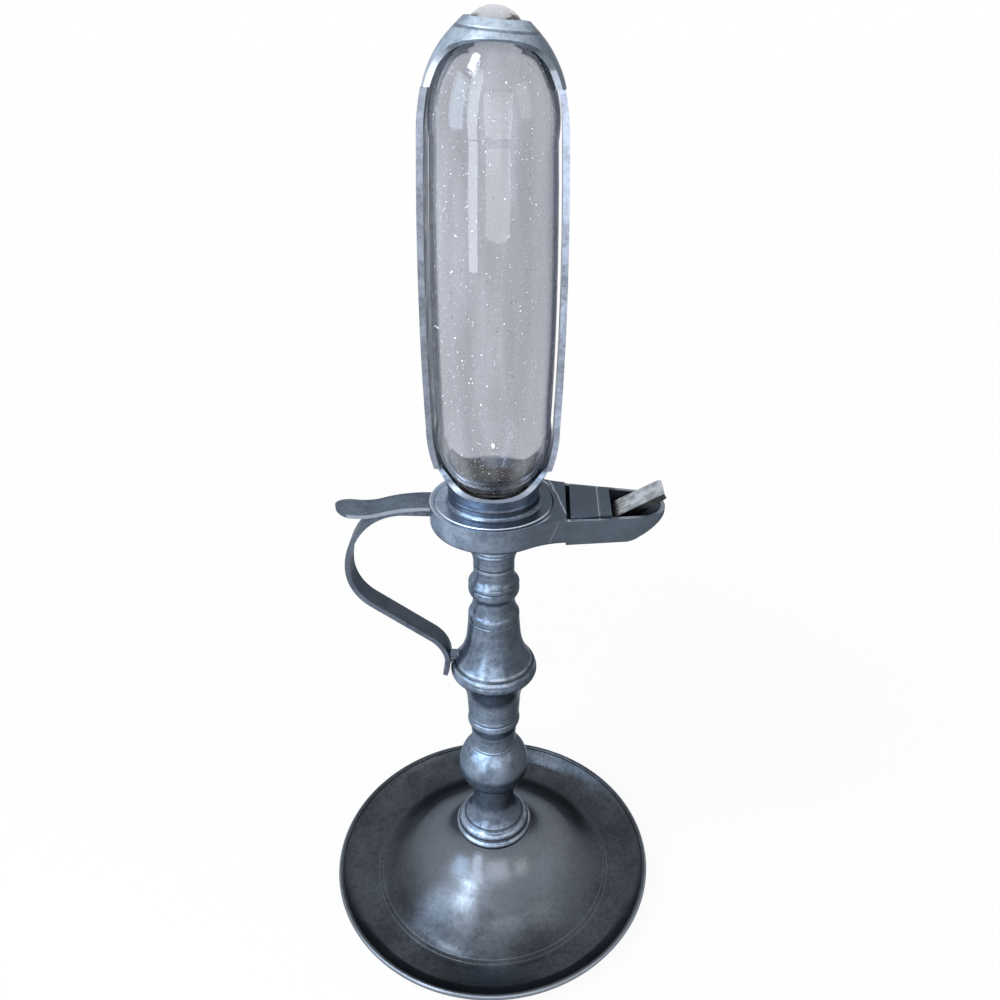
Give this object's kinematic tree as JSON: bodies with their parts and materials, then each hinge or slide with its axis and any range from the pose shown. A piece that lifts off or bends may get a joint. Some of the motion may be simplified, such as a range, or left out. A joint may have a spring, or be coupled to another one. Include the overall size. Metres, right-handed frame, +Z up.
{
  "type": "oil lamp clock",
  "caption": "Pewter oil lamp clock: a turned stem on a drip dish carries an oil font with spout and handle, and a caged glass oil reservoir screwed in on top.",
  "frame": {"origin": "centre of the drip dish's flat ring on the table", "axes": "+Z up along the stem, +X towards the spout"},
  "size_m": [0.1356, 0.1356, 0.3406],
  "materials": {
    "pewter": "satin, patinated",
    "dark_pewter": "satin, dark patina",
    "wick_pewter": "worn, stained brown at its lower end",
    "solder": "rough, bright",
    "reservoir_glass": "clear, slightly grey, blown",
    "washer_leather": "oiled",
    "packing_cork": "matt cork"
  },
  "bodies": {
    "stand": {"base_dish": "dark_pewter", "stem_foot": "pewter", "stem_ball": "pewter", "stem_collar": "pewter", "stem_cup": "pewter", "stem_bell": "pewter", "stem_neck": "pewter", "font_bowl": "pewter", "font_cover": "pewter", "font_socket": "pewter", "spout_trough": "pewter", "spout_cover": "pewter", "spout_bridge": "pewter", "thumb_rest": "pewter", "handle_strap": "pewter", "handle_gusset": "solder"},
    "wick": {"wick_holder": "wick_pewter"},
    "washer": {"leather_washer": "washer_leather"},
    "reservoir": {"cage_collar": "pewter", "strap_right": "pewter", "strap_left": "pewter", "crown": "pewter", "glass_reservoir": "reservoir_glass", "neck_packing": "packing_cork"}
  },
  "joints": [
    {"name": "wick_slide", "type": "slide", "parent": "stand", "child": "wick", "axis": [0.8572, 0, 0.515], "range_m": [0, 0.03]},
    {"name": "reservoir_turn", "type": "hinge", "parent": "stand", "child": "washer", "pos_m": [0, 0, 0.192], "axis": [0, 0, 1], "range_deg": [0, 1080]},
    {"name": "reservoir_lift", "type": "slide", "parent": "washer", "child": "reservoir", "axis": [0, 0, 1], "range_m": [0, 0.0092]}
  ],
  "couplings": [
    {"joint": "reservoir_lift", "follows": "reservoir_turn", "m_per_rad": 0.00047746}
  ]
}
